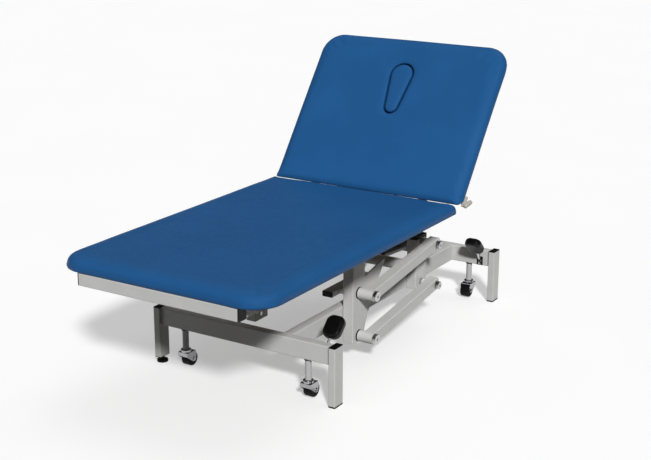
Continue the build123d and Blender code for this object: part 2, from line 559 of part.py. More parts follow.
# hinge lugs on the head rail
HX = 230.0
lugs = []
for sd in (1, -1):
    for xa in (HX - 21, HX + 15):
        pl = plate_yz(xa, xa + 6, [(370, 420), (370, 452), (391, 455), (396, 476), (HINGE_Y, HINGE_Z + 1),
                                   (HINGE_Y + 8.5, HINGE_Z - 4), (HINGE_Y + 4, 444), (394, 424)])
        pl = pl + cyl_x(xa, xa + 6, HINGE_Y, HINGE_Z, 9.0)
        pl = pl - cyl_x(xa - 2, xa + 8, HINGE_Y, HINGE_Z, 5.0)
        lugs.append(pl if sd > 0 else mirror_x(pl))
hp = cyl_x(HX - 22, HX + 22, HINGE_Y, HINGE_Z, 5.0) + cyl_x(HX + 21.0, HX + 24, HINGE_Y, HINGE_Z, 8.0) \
    + cyl_x(HX - 24, HX - 21.0, HINGE_Y, HINGE_Z, 8.0)

# control box under the seat frame, with its inlet recess
cb = fillet(box(-70, 70, -330, -190, 408, 455).edges(), 5)
cb = cb - box(-14, 14, -335, -318, 420, 440)
cbs = [box(-90, 90, -300, -280, 455.0, 457.0), box(-90, 90, -240, -220, 455.0, 457.0)]
put("control_box", group(cb, *cbs))

# strut bracket on the head rail
sa_y, sa_z = STRUT_ANCHOR
sb = []
for x0 in (STRUT_X - 17, STRUT_X + 11):  # ears either side of the cylinder eye
    pl = plate_yz(x0, x0 + 6, [(334, FRAME_Z0), (366, FRAME_Z0), (sa_y + 12, sa_z), (sa_y - 12, sa_z)])
    pl = pl + cyl_x(x0, x0 + 6, sa_y, sa_z, 12)
    pl = pl - cyl_x(x0 - 2, x0 + 8, sa_y, sa_z, 4.0)
    sb.append(pl)
put("head_rail_brackets", group(*(lugs + sb)))
sp = cyl_x(STRUT_X - 18, STRUT_X + 18, sa_y, sa_z, 4.0) + cyl_x(STRUT_X + 17, STRUT_X + 20, sa_y, sa_z, 7) + \
    cyl_x(STRUT_X - 20, STRUT_X - 17, sa_y, sa_z, 7)
put("head_rail_pins", group(hp, mirror_x(hp), sp))

# ---------------------------------------------------------------- gas strut
sdy, sdz = STRUT_TOP[0] - sa_y, STRUT_TOP[1] - sa_z
SL = math.hypot(sdy, sdz)
suy, suz = sdy / SL, sdz / SL


def on_strut(d):
    return (sa_y + suy * d, sa_z + suz * d)


cyln = rod(on_strut(16), on_strut(190), 10) - rod(on_strut(30), on_strut(200), 8)
cyln = cyln + (rod(on_strut(180), on_strut(190), 9.5) - rod(on_strut(170), on_strut(200), 4 + RUN))
cyln = cyln + rod(on_strut(6), on_strut(18), 7) + cyl_x(-9, 9, sa_y, sa_z, 10)
cyln = cyln - cyl_x(-12, 12, sa_y, sa_z, 4.0 + RUN)
put("strut_cylinder", one(Pos(STRUT_X, 0, 0) * cyln))
srod = rod(on_strut(120), on_strut(SL - 6), 4.0) + (rod(on_strut(110), on_strut(120), 7.6)) \
    + cyl_x(-7, 7, STRUT_TOP[0], STRUT_TOP[1], 10)
put("strut_rod", one(Pos(STRUT_X, 0, 0) * srod))

# ---------------------------------------------------------------- back section, drawn flat and then raised
def pt_local(y, z):
    """(s, n) of a world (Y, Z) point"""
    c, q = math.cos(math.radians(BACK_ANGLE)), math.sin(math.radians(BACK_ANGLE))
    dy, dz = y - BACK_O[0], z - BACK_O[1]
    return (dy * c + dz * q, -dy * q + dz * c)


A = pt_local(390.8, 504.6)
Bp = pt_local(390.8, 480.4)
Cp = pt_local(432.6, 483.4)
prof = [(A[0], 0.0), (BACK_LEN, 0.0), (BACK_LEN, -BACK_T), (Cp[0], -BACK_T), (Bp[0], Bp[1])]
face = make_face(Polyline(*[(-SEAT_HALF_W, s, n) for s, n in prof], close=True))
bk = extrude(face, amount=2 * SEAT_HALF_W, dir=(1, 0, 0))
# plan corners at the top end
corner = [e for e in bk.edges() if abs(e.center().Y - BACK_LEN) < 0.01 and e.length < BACK_T + 1 and e.length > BACK_T - 1]
bk = fillet(corner, BACK_CORNER_R)
top_edges = [e for e in bk.edges() if abs(e.bounding_box().min.Z) < 1e-3 and abs(e.bounding_box().max.Z) < 1e-3
             and e.bounding_box().max.Y > 5]
bk = fillet(top_edges, 14.0)
low = [e for e in bk.edges() if e.length > 600 and e.center().Y < 5 and abs(e.center().Z) < 0.1]
try:
    bk = fillet(low, 6.0)
except Exception as ex:
    print("front lower edge left sharp", ex)


def plug_sketch(off):
    """tapered opening, wide end up, round ends"""
    r1, r0 = PLUG_TOP_W + off, PLUG_LOW_W + off
    s1, s0 = PLUG_S1 - PLUG_TOP_W, PLUG_S0 + PLUG_LOW_W
    d = s1 - s0
    a = math.asin((r1 - r0) / d)
    ca, sa = math.cos(a), math.sin(a)
    p1 = (r0 * ca, s0 - r0 * sa)
    p2 = (r1 * ca, s1 - r1 * sa)
    l1 = Line(p1, p2)
    arc1 = ThreePointArc(p2, (0, s1 + r1), (-p2[0], p2[1]))
    l2 = Line((-p2[0], p2[1]), (-p1[0], p1[1]))
    arc2 = ThreePointArc((-p1[0], p1[1]), (0, s0 - r0), p1)
    return make_face([l1, arc1, l2, arc2])


hole = Pos(0, 0, -80) * extrude(plug_sketch(0.0), amount=120)
plug = Pos(0, 0, -BACK_T + 2.0) * extrude(plug_sketch(-1.2), amount=BACK_T - 2.0)
plug = fillet([e for e in plug.edges().group_by(Axis.Z)[-1]], 5.0)
flange = Pos(0, 0, -BACK_T - 5.0) * extrude(plug_sketch(-1.2), amount=7.0)
bi = BOARD_INSET
bb = box(-SEAT_HALF_W + bi, SEAT_HALF_W - bi, Cp[0] + 4, BACK_LEN - bi, -BACK_T, -BACK_T + BOARD_T)
ve = bb.edges().filter_by(Axis.Z).group_by(Axis.Y)
bb = fillet(ve[-1], BACK_CORNER_R - bi)
cushion = bk - bb - hole
put("back_cushion", one(on_back(cushion)))
put("back_board", one(on_back(bb - hole)))
put("breather_plug", one(on_back(plug)))

# back frame: side tubes, cross tubes
TN0, TN1 = -BACK_T - 30.0, -BACK_T
btubes = []
for sd, sn in ((1, "near"), (-1, "far")):
    t = tube(Axis.Y, HX - 15, HX + 15, 26, 560, TN0, TN1)
    # knuckle around the hinge pin
    hs, hn = pt_local(HINGE_Y, HINGE_Z)
    kn = plate_yz(HX - 14, HX + 14, [(hs + 7, hn + 5.5), (hs - 2, hn - 8.5), (26, TN0 + 4), (32, TN0 + 4), (32, TN1 - 1.3),
                                     (26, TN1 - 1.3), (hs + 24, hn - 15.5)])
    kn = kn + cyl_x(HX - 14, HX + 14, hs, hn, 9.0)
    kn = kn - cyl_x(HX - 20, HX + 20, hs, hn, 5.0 + RUN)
    t = t + kn
    btubes.append(on_back(t if sd > 0 else mirror_x(t)))
put("back_side_tubes", group(*btubes))
ctb = [tube(Axis.X, -HX + 15, HX - 15, 176, 206, TN0, TN1), tube(Axis.X, -HX + 15, HX - 15, 530, 560, TN0, TN1)]
# strut ears under the lower cross tube
qs, qn = pt_local(*STRUT_TOP)
ears = []
for x0 in (STRUT_X - 14, STRUT_X + 8):
    pl = plate_yz(x0, x0 + 6, [(176, TN1 - 4), (176, TN0), (206, TN0), (qs + 10, qn - 10), (qs - 6, qn + 10)]) + cyl_x(x0, x0 + 6, qs, qn, 12)
    xo = x0 if x0 < STRUT_X else x0 + 6
    s = -1 if x0 < STRUT_X else 1
    pl = pl + cyl_x(xo - 0.2 * s, xo + 4 * s, qs, qn, 6)
    ears.append(pl)
put("back_cross_tubes", group(*[on_back(s) for s in (ctb + ears)]))

# release lever at the near lower corner
lv_s, lv_n = 18.0, -71.8
bracket = box(HX + 15, HX + 45, 50, 70, -BACK_T - 12, -BACK_T)
bracket = bracket - cyl_y(45, 75, HX + 32, -BACK_T - 20, 1.0)
LVX, LVN = HX + 30, -BACK_T - 22.0
brk = plate_yz(HX + 15, HX + 45, [(58, TN1), (62, TN1), (62, LVN - 8), (58, LVN - 8)])
brk = brk - cyl_y(50, 70, LVX, LVN, 4.0)
pinr = cyl_y(30, 62, LVX, LVN, 4.0) + cyl_y(62, 65, LVX, LVN, 7) + cyl_y(30, 33, LVX, LVN, 7)
put("release_bracket", group(on_back(brk), on_back(pinr)))
lever = cyl_y(34, 57.5, LVX, LVN, 9.0)
arm_b = box(LVX, 388, 34, 46, LVN - 3, LVN + 3)
strap = fillet(box(374, 390, 6, 46, LVN - 3, LVN + 3).edges().filter_by(Axis.Z), 4)
# grip bar, level with the seat side when the back is raised
g0, g1 = pt_local(*GRIP_FROM), pt_local(*GRIP_TO)
hand = strap + rod(g0, g1, GRIP_R, GRIP_X) + Pos(GRIP_X, *g0) * Sphere(GRIP_R) + Pos(GRIP_X, *g1) * Sphere(GRIP_R)
lever = lever + arm_b + hand - cyl_y(20, 70, LVX, LVN, 4.0 + RUN)
put("release_lever", one(on_back(lever)))

allc = Compound([s for v in NODES.values() for s in v.solids()])
bbx = allc.bounding_box()
print("nodes", len(NODES))
print("box", [round(v, 2) for v in (bbx.min.X, bbx.max.X, bbx.min.Y, bbx.max.Y, bbx.min.Z, bbx.max.Z)])
print("arm angle", ARM_ANG, "length", ARM_L, "actuator", AL, "strut", SL)
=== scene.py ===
import bpy, bmesh, json, math
import numpy as np
from mathutils import Matrix, Vector

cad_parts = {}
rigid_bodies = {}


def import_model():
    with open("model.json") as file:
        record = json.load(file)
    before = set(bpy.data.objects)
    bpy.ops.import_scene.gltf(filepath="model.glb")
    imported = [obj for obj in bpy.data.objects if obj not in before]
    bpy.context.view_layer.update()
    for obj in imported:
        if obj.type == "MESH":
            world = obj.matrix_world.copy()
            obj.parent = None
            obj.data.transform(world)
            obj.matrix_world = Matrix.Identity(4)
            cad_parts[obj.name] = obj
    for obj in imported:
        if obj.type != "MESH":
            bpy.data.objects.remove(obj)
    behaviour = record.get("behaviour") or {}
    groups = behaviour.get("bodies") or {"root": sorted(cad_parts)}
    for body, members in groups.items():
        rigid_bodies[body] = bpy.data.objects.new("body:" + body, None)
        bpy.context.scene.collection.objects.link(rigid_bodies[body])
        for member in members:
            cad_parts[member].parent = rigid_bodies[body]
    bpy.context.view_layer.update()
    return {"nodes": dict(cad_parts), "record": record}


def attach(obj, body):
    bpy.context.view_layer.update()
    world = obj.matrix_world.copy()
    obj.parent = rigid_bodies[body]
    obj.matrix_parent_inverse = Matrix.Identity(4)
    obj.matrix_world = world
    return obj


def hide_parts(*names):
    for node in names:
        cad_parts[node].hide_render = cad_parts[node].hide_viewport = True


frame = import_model()
SLOT_OF = {s["node"]: s["material_slot"] for s in frame["record"]["subparts"]}
scene = bpy.context.scene

# ------------------------------------------------------------------ camera
cam_data = bpy.data.cameras.new("camera")
cam_data.sensor_width = 36.0
cam_data.lens = 71.89
cam_data.clip_start, cam_data.clip_end = 0.05, 200.0
cam = bpy.data.objects.new("camera", cam_data)
scene.collection.objects.link(cam)
yaw, pitch, roll = math.radians(32.019), math.radians(16.747), math.radians(0.043)
fwd = Vector((-math.sin(yaw) * math.cos(pitch), math.cos(yaw) * math.cos(pitch), -math.sin(pitch)))
right = Vector((math.cos(yaw), math.sin(yaw), 0.0))
up = right.cross(fwd)
r2 = right * math.cos(roll) + up * math.sin(roll)
u2 = up * math.cos(roll) - right * math.sin(roll)
cam.matrix_world = Matrix(((r2.x, u2.x, -fwd.x, 2.3448), (r2.y, u2.y, -fwd.y, -3.6180),
                           (r2.z, u2.z, -fwd.z, 1.7320), (0, 0, 0, 1)))
scene.camera = cam
scene.view_settings.view_transform = "Standard"


# ------------------------------------------------------------------ material helpers
class Mat:
    def __init__(self, name):
        self.m = bpy.data.materials.new(name)
        self.m.use_nodes = True
        self.t = self.m.node_tree
        self.b = self.t.nodes["Principled BSDF"]
        self.co = self.t.nodes.new("ShaderNodeTexCoord").outputs["Object"]

    def node(self, kind, **kw):
        n = self.t.nodes.new(kind)
        for k, v in kw.items():
            setattr(n, k, v)
        return n

    def link(self, a, b):
        self.t.links.new(a, b)

    def noise(self, scale, detail=4.0, rough=0.55, vec=None):
        n = self.node("ShaderNodeTexNoise")
        n.inputs["Scale"].default_value = scale
        n.inputs["Detail"].default_value = detail
        n.inputs["Roughness"].default_value = rough
        self.link(vec or self.co, n.inputs["Vector"])
        return n.outputs["Fac"]

    def voronoi(self, scale, feature="F1", vec=None):
        n = self.node("ShaderNodeTexVoronoi", feature=feature)
        n.inputs["Scale"].default_value = scale
        self.link(vec or self.co, n.inputs["Vector"])
        return n.outputs["Distance"]

    def ramp(self, fac, lo, hi, clo, chi):
        n = self.node("ShaderNodeValToRGB")
        n.color_ramp.elements[0].position, n.color_ramp.elements[1].position = lo, hi
        n.color_ramp.elements[0].color = (*clo, 1) if len(clo) == 3 else clo
        n.color_ramp.elements[1].color = (*chi, 1) if len(chi) == 3 else chi
        self.link(fac, n.inputs["Fac"])
        return n.outputs["Color"]

    def remap(self, fac, a, b, lo=0.0, hi=1.0):
        n = self.node("ShaderNodeMapRange")
        n.inputs["From Min"].default_value, n.inputs["From Max"].default_value = lo, hi
        n.inputs["To Min"].default_value, n.inputs["To Max"].default_value = a, b
        self.link(fac, n.inputs["Value"])
        return n.outputs["Result"]

    def math(self, op, a, b=None):
        n = self.node("ShaderNodeMath", operation=op)
        for i, v in enumerate((a, b)):
            if v is None:
                continue
            if isinstance(v, (int, float)):
                n.inputs[i].default_value = v
            else:
                self.link(v, n.inputs[i])
        return n.outputs[0]

    def mix(self, fac, ca, cb):
        n = self.node("ShaderNodeMix", data_type="RGBA")
        for s, v in ((n.inputs[0], fac), (n.inputs[6], ca), (n.inputs[7], cb)):
            if isinstance(v, (int, float)):
                s.default_value = v
            elif isinstance(v, (tuple, list)):
                s.default_value = (*v, 1) if len(v) == 3 else v
            else:
                self.link(v, s)
        return n.outputs[2]

    def bump(self, height, strength, distance, normal=None):
        n = self.node("ShaderNodeBump")
        n.inputs["Strength"].default_value = strength
        n.inputs["Distance"].default_value = distance
        self.link(height, n.inputs["Height"])
        if normal is not None:
            self.link(normal, n.inputs["Normal"])
        return n.outputs["Normal"]

    def bevel(self, radius):
        n = self.node("ShaderNodeBevel", samples=4)
        n.inputs["Radius"].default_value = radius
        return n.outputs["Normal"]

    def edge(self, radius, gain):
        """0 on flat faces, rising to 1 on convex and concave edges"""
        g = self.node("ShaderNodeNewGeometry")
        d = self.node("ShaderNodeVectorMath", operation="DOT_PRODUCT")
        self.link(self.bevel(radius), d.inputs[0])
        self.link(g.outputs["Normal"], d.inputs[1])
        n = self.math("SUBTRACT", 1.0, d.outputs["Value"])
        n = self.math("MULTIPLY", n, gain)
        return self.math("MINIMUM", n, 1.0)

    def set(self, **kw):
        names = {"rough": "Roughness", "metal": "Metallic", "spec": "Specular IOR Level", "coat": "Coat Weight",
                 "coat_rough": "Coat Roughness", "sheen": "Sheen Weight"}
        for k, v in kw.items():
            s = self.b.inputs[names[k]]
            if isinstance(v, (int, float)):
                s.default_value = v
            else:
                self.link(v, s)
        return self

    def color(self, v):
        s = self.b.inputs["Base Color"]
        if isinstance(v, tuple):
            s.default_value = (*v, 1)
        else:
            self.link(v, s)
        return self

    def normal(self, v):
        self.link(v, self.b.inputs["Normal"])
        return self


def mat_vinyl():
    k = Mat("vinyl_blue")
    large = k.noise(5.0, 3.0)
    mid = k.noise(60.0, 3.0)
    cells = k.voronoi(420.0, "DISTANCE_TO_EDGE")
    fine = k.noise(1500.0, 2.0)
    base = k.ramp(large, 0.35, 0.68, (0.0142, 0.0890, 0.247), (0.0162, 0.0980, 0.268))
    grain = k.remap(cells, 0.0, 1.0, 0.0, 0.16)
    pore = k.mix(k.remap(cells, 0.10, 0.0, 0.0, 0.22), base, (0.0085, 0.058, 0.172))
    rub = k.mix(k.remap(mid, 0.0, 0.10, 0.45, 0.75), pore, (0.0200, 0.115, 0.306))
    # painted shade: ambient occlusion darkens the blue towards deep navy in seams, the plug groove and the seat/back
    # junction
    ao = k.node("ShaderNodeAmbientOcclusion", samples=6)
    ao.inputs["Distance"].default_value = 0.012
    seam_painted_shade = k.remap(ao.outputs["AO"], 0.30, 1.0, 0.40, 0.90)
    k.color(k.mix(seam_painted_shade, (0.0015, 0.012, 0.045), rub))
    k.set(rough=k.math("ADD", k.remap(mid, 0.40, 0.50, 0.3, 0.7), k.remap(cells, 0.06, 0.0, 0.0, 0.12)), spec=0.16)
    h = k.math("ADD", k.remap(cells, 0.0, 1.0, 0.0, 0.16), k.math("MULTIPLY", fine, 0.25))
    n1 = k.bump(h, 0.22, 0.00025)
    n2 = k.bump(k.noise(9.0, 2.0), 0.20, 0.0022, n1)
    k.normal(n2)
    return k.m


def mat_paint(name="frame_paint", col=(0.60, 0.60, 0.585), rough=0.36):
    k = Mat(name)
    dirt = k.noise(14.0, 5.0)
    base = k.ramp(dirt, 0.30, 0.75, tuple(c * 0.955 for c in col), tuple(min(1, c * 1.02) for c in col))
    e = k.edge(0.0016, 3.0)
    worn = k.mix(k.math("MULTIPLY", e, 0.28), base, tuple(min(1.0, c * 1.35) for c in col))
    speck = k.math("GREATER_THAN", k.noise(260.0, 2.0), 0.735)
    k.color(k.mix(k.math("MULTIPLY", speck, 0.10), worn, tuple(c * 0.6 for c in col)))
    k.set(rough=k.remap(k.noise(45.0, 3.0), rough - 0.05, rough + 0.08, 0.3, 0.7), spec=0.45)
    k.normal(k.bump(k.noise(650.0, 2.0), 0.10, 0.0003, k.bevel(0.0012)))
    return k.m


def mat_plastic(name, col, rough, grain=1100.0, amount=0.25, spec=0.4):
    k = Mat(name)
    v = k.noise(30.0, 4.0)
    e = k.edge(0.0012, 3.0)
    c = k.ramp(v, 0.3, 0.75, tuple(x * 0.85 for x in col), tuple(min(1, x * 1.15) for x in col))
    k.color(k.mix(k.math("MULTIPLY", e, 0.35), c, tuple(min(1.0, x * 1.8 + 0.012) for x in col)))
    k.set(rough=k.remap(k.noise(80.0, 3.0), rough - 0.06, rough + 0.08, 0.3, 0.7), spec=spec)
    k.normal(k.bump(k.voronoi(grain), amount, 0.00015, k.bevel(0.0009)))
    return k.m


def mat_metal(name, col, r0, r1, brushed=None):
    k = Mat(name)
    sm = k.noise(55.0, 5.0)
    k.color(k.ramp(sm, 0.3, 0.8, tuple(c * 0.9 for c in col), col))
    k.set(metal=1.0, rough=k.remap(k.noise(22.0, 6.0, 0.65), r0, r1, 0.3, 0.75))
    nb = k.bevel(0.0009)
    if brushed:
        mp = k.node("ShaderNodeMapping")
        mp.inputs["Scale"].default_value = brushed
        k.link(k.co, mp.inputs["Vector"])
        k.normal(k.bump(k.noise(500.0, 3.0, vec=mp.outputs["Vector"]), 0.12, 0.0002, nb))
    else:
        k.normal(k.bump(k.noise(120.0, 2.0), 0.03, 0.0003, nb))
    return k.m


def mat_rubber(name, col, rough, scale, spec=0.4):
    k = Mat(name)
    k.color(k.ramp(k.noise(70.0, 4.0), 0.3, 0.75, tuple(c * 0.8 for c in col), tuple(c * 1.5 for c in col)))
    k.set(rough=k.remap(k.noise(180.0, 3.0), rough - 0.07, rough + 0.07, 0.3, 0.7), spec=spec)
    k.normal(k.bump(k.voronoi(scale), 0.22, 0.0002, k.bevel(0.001)))
    return k.m


def mat_plywood(name, across):
    """across is the unit direction through the sheet: veneers show as bands on its edges"""
    k = Mat(name)
    d = k.node("ShaderNodeVectorMath", operation="DOT_PRODUCT")
    k.link(k.co, d.inputs[0])
    d.inputs[1].default_value = across
    warp = k.math("ADD", k.math("MULTIPLY", d.outputs["Value"], 650.0), k.math("MULTIPLY", k.noise(25.0, 3.0), 0.9))
    band = k.math("FRACT", warp)
    mp = k.node("ShaderNodeMapping")
    mp.inputs["Scale"].default_value = (1.0, 14.0, 1.0)
    k.link(k.co, mp.inputs["Vector"])
    grain = k.noise(26.0, 7.0, 0.65, vec=mp.outputs["Vector"])
    face = k.ramp(grain, 0.3, 0.72, (0.36, 0.235, 0.125), (0.60, 0.44, 0.26))
    k.color(k.mix(k.math("MULTIPLY", k.math("LESS_THAN", band, 0.38), 0.35), face, (0.27, 0.16, 0.08)))
    k.set(rough=0.68, spec=0.25)
    k.normal(k.bump(grain, 0.25, 0.0004))
    return k.m


C53, S53 = math.cos(math.radians(53.24)), math.sin(math.radians(53.24))
E_S = Vector((0, C53, S53))
E_N = Vector((0, -S53, C53))
BACK_ORIGIN = Vector((0, 0.3908, 0.5046))
M = {
    "vinyl_blue": mat_vinyl(),
    "frame_paint": mat_paint(),
    "black_plastic": mat_plastic("black_plastic", (0.0045, 0.0045, 0.005), 0.50, spec=0.16),
    "zinc_steel": mat_metal("zinc_steel", (0.58, 0.58, 0.59), 0.24, 0.38, (1.0, 1.0, 8.0)),
    "carriage_zinc": mat_paint("carriage_zinc", (0.50, 0.50, 0.505), 0.30),
    "lever_satin": mat_paint("lever_satin", (0.50, 0.475, 0.43), 0.40),
    "chrome": mat_metal("chrome", (0.44, 0.44, 0.455), 0.08, 0.20),
    "tyre_rubber": mat_rubber("tyre_rubber", (0.005, 0.005, 0.0055), 0.62, 900.0, 0.15),
    "pedal_rubber": mat_rubber("pedal_rubber", (0.0035, 0.0035, 0.004), 0.34, 700.0, 0.30),
    "bush_polymer": mat_plastic("bush_polymer", (0.62, 0.60, 0.52), 0.45),
    "actuator_grey": mat_paint("actuator_grey", (0.05, 0.05, 0.055), 0.40),
    "plywood": mat_plywood("plywood", (0, 0, 1)),
    "plywood_back": mat_plywood("plywood_back", tuple(E_N)),
}
for name, o in frame["nodes"].items():
    m = M[{"back_board": "plywood_back", "release_lever": "lever_satin",
           "castor_carriage_foot": "carriage_zinc", "castor_carriage_head": "carriage_zinc"}.get(name, SLOT_OF[name])]
    o.data.materials.clear()
    o.data.materials.append(m)


# ------------------------------------------------------------------ soft goods: lofted blanks
def rounded(x0, x1, y0, y1, r_low, r_high, d, n=14, y_low=None):
    """closed outline of a rounded rectangle pulled in by d; y0 end corners have r_low, y1 end corners r_high"""
    xa, xb, ya, yb = x0 + d, x1 - d, (y0 + d) if y_low is None else y_low, y1 - d
    rl, rh = max(r_low - d, 0.0012), max(r_high - d, 0.0012)
    pts = []
    for cx, cy, r, a0 in ((xb - rl, ya + rl, rl, -90), (xb - rh, yb - rh, rh, 0), (xa + rh, yb - rh, rh, 90), (xa + rl, ya + rl, rl, 180)):
        for i in range(n + 1):
            a = math.radians(a0 + 90.0 * i / n)
            pts.append((cx + r * math.cos(a), cy + r * math.sin(a)))
    return pts


def loft(name, rings):
    """closed mesh through rings of (x, y, z) points, first and last capped"""
    bm = bmesh.new()
    vs = [[bm.verts.new(p) for p in ring] for ring in rings]
    n = len(rings[0])
    for a, b in zip(vs, vs[1:]):
        for i in range(n):
            bm.faces.new((a[i], a[(i + 1) % n], b[(i + 1) % n], b[i]))
    bm.faces.new(list(reversed(vs[0])))
    bm.faces.new(vs[-1])
    bmesh.ops.recalc_face_normals(bm, faces=bm.faces)
    me = bpy.data.meshes.new(name)
    bm.to_mesh(me)
    bm.free()
    o = bpy.data.objects.new(name, me)
    scene.collection.objects.link(o)
    return o


def apply_mod(o, kind, **kw):
    m = o.modifiers.new("m", kind)
    for k, v in kw.items():
        setattr(m, k, v)
    bpy.context.view_layer.update()
    dg = bpy.context.evaluated_depsgraph_get()
    me = bpy.data.meshes.new_from_object(o.evaluated_get(dg))
    o.modifiers.clear()
    old = o.data
    o.data = me
    bpy.data.meshes.remove(old)


def coords(o):
    a = np.zeros(len(o.data.vertices) * 3)
    o.data.vertices.foreach_get("co", a)
    return a.reshape(-1, 3)


def set_coords(o, a):
    o.data.vertices.foreach_set("co", a.astype(np.float32).ravel())
    o.data.update()


def inflate(o, pinned, cap, frames=20, pressure=4.0, mass=0.35, stiff=18.0):
    """cloth simulation of the cover, blown up by the foam; pinned is a 0..1 weight per vertex"""
    rest = coords(o)
    g = o.vertex_groups.new(name="pin")
    for w in (1.0,):
        g.add([int(i) for i in np.nonzero(pinned > 0.5)[0]], w, "REPLACE")
    m = o.modifiers.new("cloth", "CLOTH")
    s = m.settings
    s.quality = 4
    s.mass = mass
    s.tension_stiffness = s.compression_stiffness = stiff
    s.shear_stiffness = stiff * 0.6
    s.bending_stiffness = 1.2
    s.use_pressure = True
    s.uniform_pressure_force = pressure
    s.vertex_group_mass = "pin"
    s.effector_weights.gravity = 0.0
    m.collision_settings.use_collision = False
    m.point_cache.frame_start, m.point_cache.frame_end = 1, frames
    for f in range(1, frames + 1):
        scene.frame_set(f)
    dg = bpy.context.evaluated_depsgraph_get()
    ev = o.evaluated_get(dg)
    out = np.zeros(len(ev.data.vertices) * 3)
    ev.data.vertices.foreach_get("co", out)
    out = out.reshape(-1, 3)
    o.modifiers.clear()
    o.vertex_groups.clear()
    scene.frame_set(1)
    d = out - rest
    ln = np.linalg.norm(d, axis=1)
    k = cap * np.tanh(ln / cap) / np.maximum(ln, 1e-9)
    set_coords(o, rest + d * k[:, None])


def smooth_faces(o):
    o.data.polygons.foreach_set("use_smooth", [True] * len(o.data.polygons))
    o.data.update()


def relax(o, steps, hold=None):
    """Laplacian smoothing by edges, without moving held vertices"""
    e = np.zeros(len(o.data.edges) * 2, dtype=np.int64)
    o.data.edges.foreach_get("vertices", e)
    e = e.reshape(-1, 2)
    c = coords(o)
    cnt = np.bincount(e.ravel(), minlength=len(c)).astype(float)
    free = np.ones(len(c)) if hold is None else 1.0 - hold
    for i in range(steps):
        for lam in (0.50, -0.52):  # shrink-free pair
            acc = np.zeros_like(c)
            for ax in range(3):
                acc[:, ax] = np.bincount(e[:, 0], c[e[:, 1], ax], len(c)) + np.bincount(e[:, 1], c[e[:, 0], ax], len(c))
            c = c + ((acc / cnt[:, None]) - c) * (lam * free)[:, None]
    set_coords(o, c)


VINYL = M["vinyl_blue"]
HALF_W = 0.3994
SEAT_Y0, SEAT_Y1, SEAT_Z0, SEAT_Z1 = -0.8286, 0.3852, 0.4570, 0.5046

# side profile of an upholstered pad: (inset from the widest line, height as a share of the thickness)
PAD = [(0.0160, 0.035), (0.0100, 0.000), (0.0050, 0.030), (0.0020, 0.090), (0.0006, 0.180), (0.0, 0.30), (0.0004, 0.42),
       (0.0018, 0.545), (0.0046, 0.665), (0.0090, 0.775), (0.0150, 0.860), (0.0225, 0.920), (0.0320, 0.958), (0.0460, 0.983),
       (0.0700, 0.996), (0.1200, 1.0)]

# seat cushion
thick = SEAT_Z1 - SEAT_Z0 - 0.0032
START = 0.0022
rings = []
for d, z in ([(0.11, None), (0.0148, None)]):
    rings.append([(x, y, SEAT_Z0 + 0.0122) for x, y in rounded(-HALF_W, HALF_W, SEAT_Y0, SEAT_Y1, 0.100, 0.014, d)])
for d, z in PAD:
    rings.append([(x, y, SEAT_Z0 + 0.0002 + thick * z) for x, y in
                  rounded(-HALF_W + START, HALF_W - START, SEAT_Y0 + START, SEAT_Y1 - 0.0008, 0.100, 0.014, d)])
seat = loft("seat_cushion_soft", rings)
apply_mod(seat, "REMESH", mode="VOXEL", voxel_size=0.0060)
c = coords(seat)
pin = ((c[:, 2] < SEAT_Z0 + 0.0135) & ((np.abs(c[:, 0]) < HALF_W - 0.006) & (c[:, 1] > SEAT_Y0 + 0.006) & (c[:, 1] < SEAT_Y1 - 0.006))).astype(float)
inflate(seat, pin, 0.0032)
relax(seat, 6)
c = coords(seat)
c[:, 1] = np.minimum(c[:, 1], SEAT_Y1 + 0.0006)
set_coords(seat, c)
smooth_faces(seat)
seat.data.materials.append(VINYL)
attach(seat, "top_frame")
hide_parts("seat_cushion")


# back cushion, made flat (y along the back, z out of its face) and then raised
def plug_line(off, n_arc=26):
    r1, r0 = 0.0476 + off, 0.0295 + off
    s1, s0 = 0.516 - 0.0476, 0.306 + 0.0295
    a = math.asin((r1 - r0) / (s1 - s0))
    pts = []
    for i in range(n_arc + 1):
        t = -a + (math.pi + 2 * a) * i / n_arc
        pts.append((r1 * math.cos(t), s1 + r1 * math.sin(t)))
    for i in range(n_arc + 1):
        t = math.pi + a + (math.pi - 2 * a) * i / n_arc
        pts.append((r0 * math.cos(t), s0 + r0 * math.sin(t)))
    return pts


BT, BL = 0.0462, 0.6317


def low_end(n):
    """lower end of the back section at depth n below its front face"""
    pts = [(0.0, 0.0050), (-0.0030, 0.0002), (-0.0145, -0.0165), (-0.0200, -0.0140), (-BT + 0.004, 0.0050), (-BT, 0.0110)]
    for (n0, s0), (n1, s1) in zip(pts, pts[1:]):
        if n1 <= n <= n0:
            return s0 + (s1 - s0) * (n0 - n) / (n0 - n1)
    return pts[-1][1]


th = BT - 0.0030
rings = []
for d in (0.11, 0.0148):
    rings.append([(x, y, -BT + 0.0122) for x, y in rounded(-HALF_W, HALF_W, 0, BL, 0.014, 0.088, d, y_low=0.0125 + (0.05 if d > 0.1 else 0.0))])
for d, z in PAD:
    n = -BT + 0.0002 + th * z
    yl = low_end(n - 0.0008) + 0.0016 + (max(0.0, d - 0.032) * 0.8 if z > 0.5 else 0.0)
    rings.append([(x, y, n) for x, y in rounded(-HALF_W + START, HALF_W - START, 0, BL - START, 0.014, 0.088, d, y_low=yl)])
back = loft("back_cushion_soft", rings)
cut = loft("cut", [[(x, y, z) for x, y in plug_line(o)] for z, o in
                   ((-0.070, 0.0), (-0.0150, 0.0), (-0.0100, 0.0007), (-0.0066, 0.0016), (-0.0040, 0.0029), (-0.0021, 0.0046), (-0.0009, 0.0068), (-0.0003, 0.0092), (0.012, 0.0125))])
apply_mod(back, "BOOLEAN", operation="DIFFERENCE", object=cut, solver="EXACT")
bpy.data.objects.remove(cut)
apply_mod(back, "REMESH", mode="VOXEL", voxel_size=0.0045)
c = coords(back)
rim = np.zeros(len(c))
p = np.array(plug_line(0.0))
near = np.full(len(c), 9.0)
